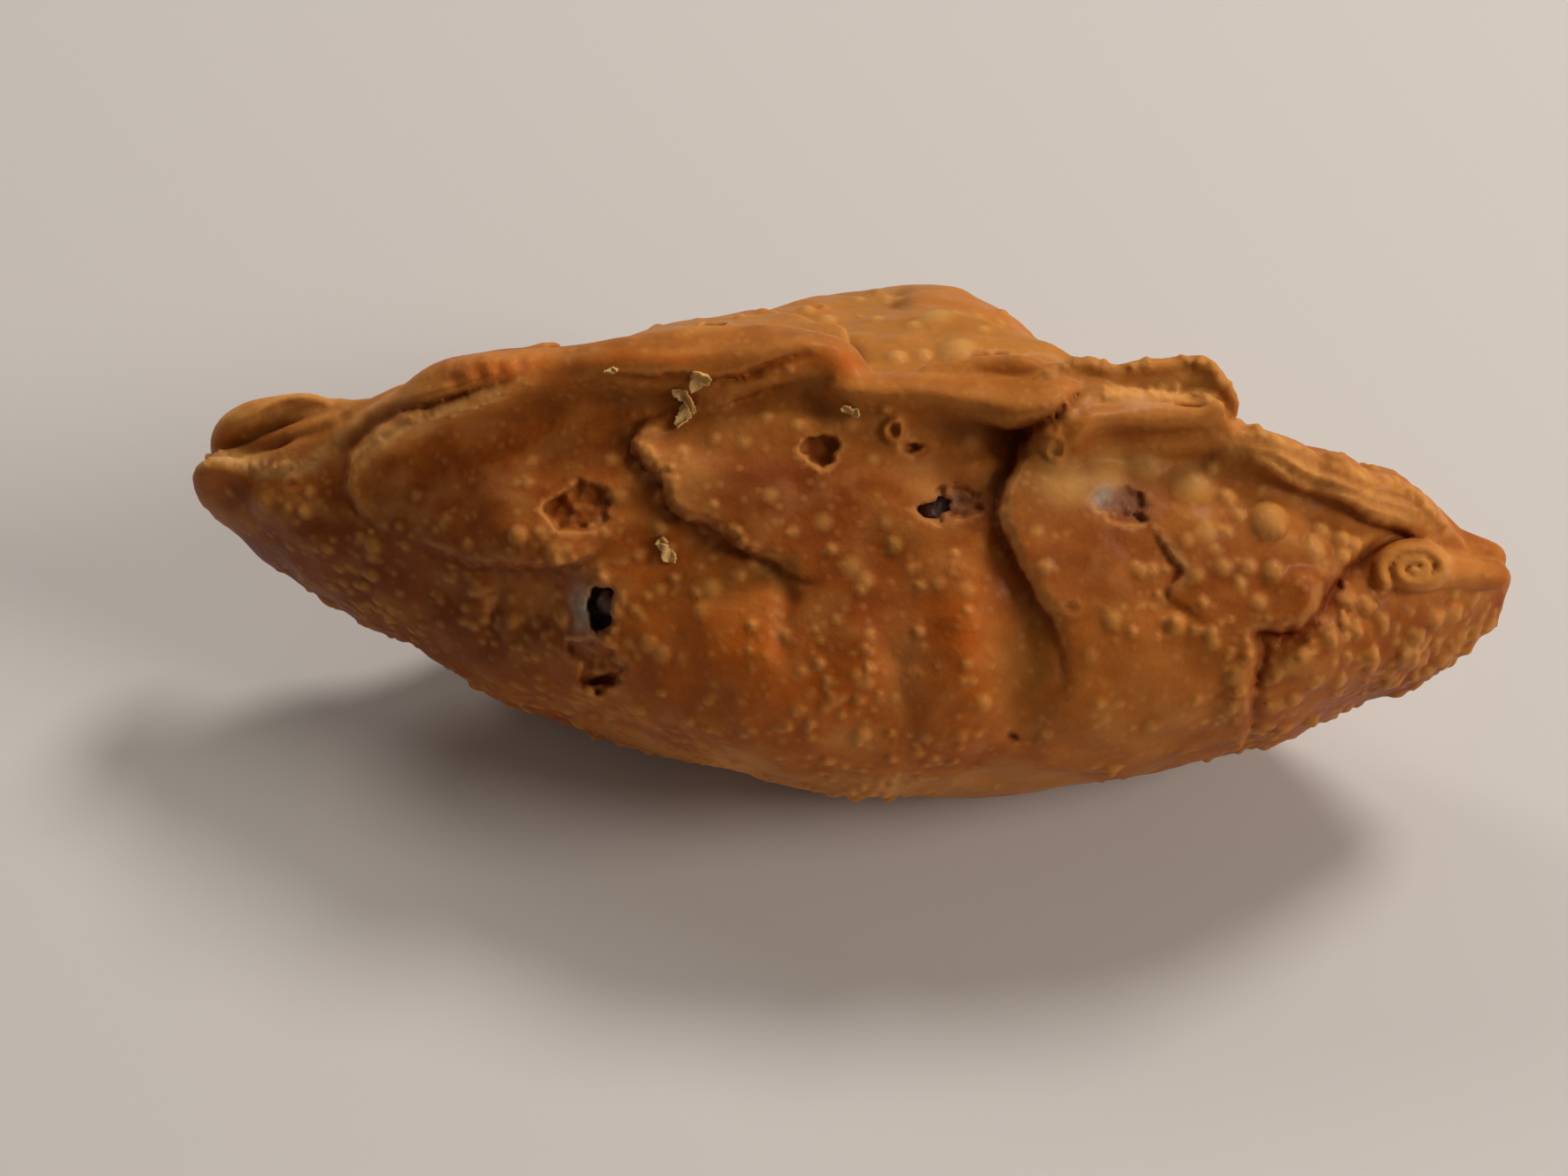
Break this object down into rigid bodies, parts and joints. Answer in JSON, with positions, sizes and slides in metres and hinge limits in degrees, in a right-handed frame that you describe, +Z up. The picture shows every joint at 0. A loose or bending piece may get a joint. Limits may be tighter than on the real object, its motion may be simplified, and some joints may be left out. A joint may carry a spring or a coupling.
{
  "type": "fried empanada",
  "caption": "Half-moon fried dough pocket with a roped, pleated seam on top and burst blisters that show its filling.",
  "frame": {"origin": "on the floor, in the middle of the flat spot that the folded edge rests on", "axes": "+X from tip to tip, to the right of somebody who faces the shown flank; -Y towards that flank; +Z up"},
  "size_m": [0.1276, 0.0523, 0.0483],
  "materials": {
    "fried_dough": "oily blistered crust",
    "filling": "moist minced filling"
  },
  "bodies": {
    "root": {"crust": "fried_dough", "filling": "filling"}
  },
  "joints": []
}
